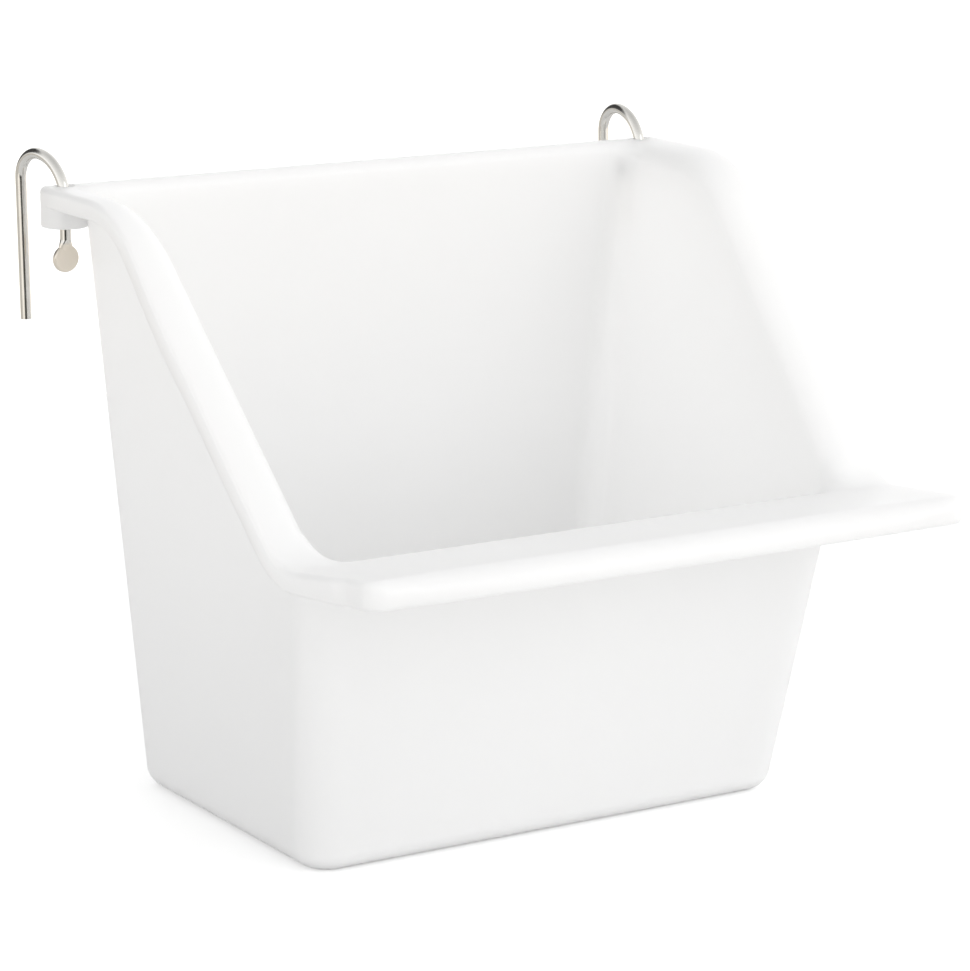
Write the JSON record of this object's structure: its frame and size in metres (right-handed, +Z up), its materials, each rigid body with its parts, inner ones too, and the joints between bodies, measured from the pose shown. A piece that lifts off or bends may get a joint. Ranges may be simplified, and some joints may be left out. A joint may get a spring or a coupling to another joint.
{
  "type": "hanging bird feeder cup",
  "caption": "High-backed moulded feeder cup with a sloping rim and front ledge, hung on cage wires by two swivelling wire hooks.",
  "frame": {"origin": "middle of the flat underside", "axes": "+Z up, +Y towards the cage wall that the cup hangs on, -Y towards the bird and the ledge, +X across the cup to the right as seen by a viewer who faces the ledge"},
  "size_m": [0.1496, 0.1328, 0.1332],
  "materials": {
    "cup_plastic": "gloss",
    "hook_wire": "polished"
  },
  "bodies": {
    "cup": {"cup_body": "cup_plastic"},
    "hook_left": {"left_hook": "hook_wire"},
    "hook_right": {"right_hook": "hook_wire"}
  },
  "joints": [
    {"name": "left_hook_swivel", "type": "hinge", "parent": "cup", "child": "hook_left", "pos_m": [-0.07, 0.0366, 0.1223], "axis": [0, 0, 1], "range_deg": [-84.8, 137.2]},
    {"name": "right_hook_swivel", "type": "hinge", "parent": "cup", "child": "hook_right", "pos_m": [0.07, 0.0366, 0.1223], "axis": [0, 0, 1], "range_deg": [-151.3, 70.7]}
  ]
}
